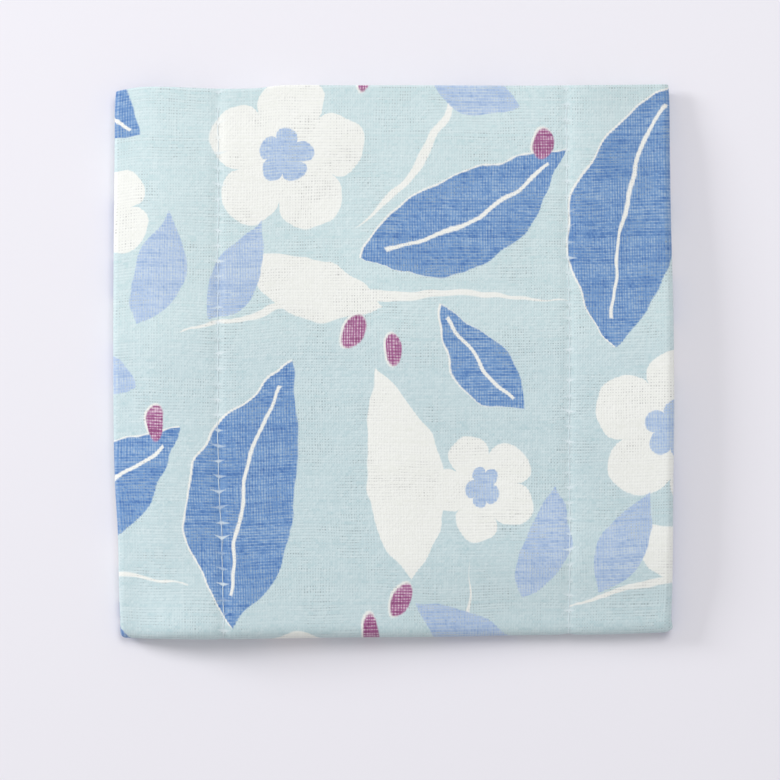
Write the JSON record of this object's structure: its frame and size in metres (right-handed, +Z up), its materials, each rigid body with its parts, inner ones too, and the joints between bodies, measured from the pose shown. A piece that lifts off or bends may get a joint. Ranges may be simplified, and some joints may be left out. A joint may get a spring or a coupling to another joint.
{
  "type": "dishcloth",
  "caption": "Folded kitchen cloth of quilted gauze plies, folded in three and then in half, lying flat on its underside.",
  "frame": {"origin": "centre of the underside, on the surface the folded cloth lies on", "axes": "+Z up through the layers, +X across the panel's width, +Y from the half fold's roll to the open hemmed ends"},
  "size_m": [0.1526, 0.1506, 0.01],
  "materials": {
    "gauze_cloth": "soft matt open plain weave of several plies, printed in pale aqua, white, blues and magenta"
  },
  "bodies": {
    "root": {"dishcloth": "gauze_cloth"}
  },
  "joints": []
}
